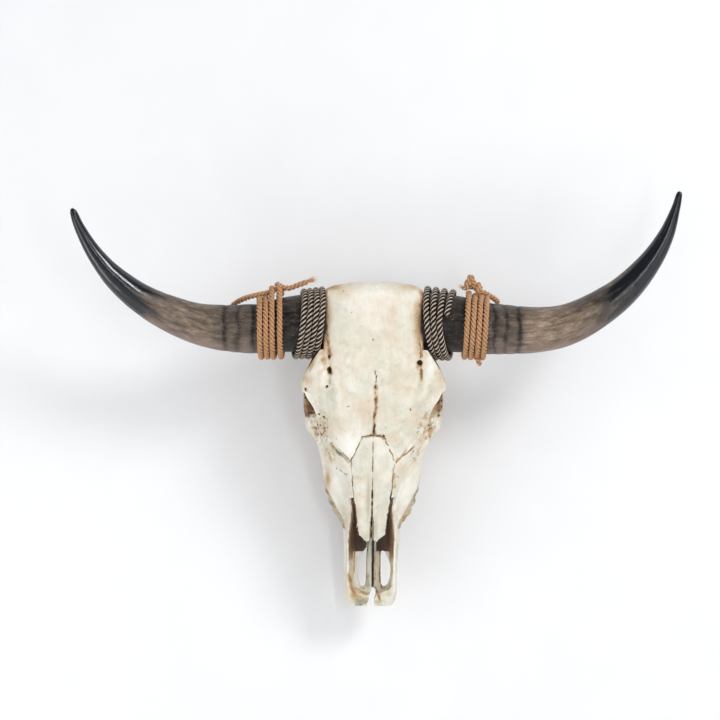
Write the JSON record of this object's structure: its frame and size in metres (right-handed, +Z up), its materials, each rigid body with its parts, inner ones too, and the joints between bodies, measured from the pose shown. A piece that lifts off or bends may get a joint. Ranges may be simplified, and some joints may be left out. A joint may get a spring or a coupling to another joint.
{
  "type": "resin longhorn steer skull wall decoration",
  "caption": "Cast-resin longhorn steer skull that hangs on a wall, painted as weathered bone, with dark upswept horns wound in striped cord and tan jute.",
  "frame": {"origin": "middle of the hanging pad's flat back, which lies on the wall", "axes": "+X to the right as one faces the skull, along the span of the horns, +Y into the wall, +Z up"},
  "size_m": [0.7904, 0.2105, 0.5539],
  "materials": {
    "bone_resin": "painted off-white bone with brown and green staining, satin",
    "horn_resin": "painted horn, black and glossy at the tips, grey-brown towards the base",
    "striped_cord": "twisted cord with dark and pale strands",
    "jute_cord": "natural tan twisted jute, slightly hairy"
  },
  "bodies": {
    "root": {"cranium": "bone_resin", "nasal_left": "bone_resin", "nasal_right": "bone_resin", "maxilla_left": "bone_resin", "maxilla_right": "bone_resin", "premaxilla_left": "bone_resin", "premaxilla_right": "bone_resin", "zygomatic_left": "bone_resin", "zygomatic_right": "bone_resin", "wall_pad": "bone_resin", "horn_left": "horn_resin", "horn_right": "horn_resin", "cord_band_left": "striped_cord", "cord_band_right": "striped_cord", "jute_wrap_left": "jute_cord", "jute_wrap_right": "jute_cord"}
  },
  "joints": []
}
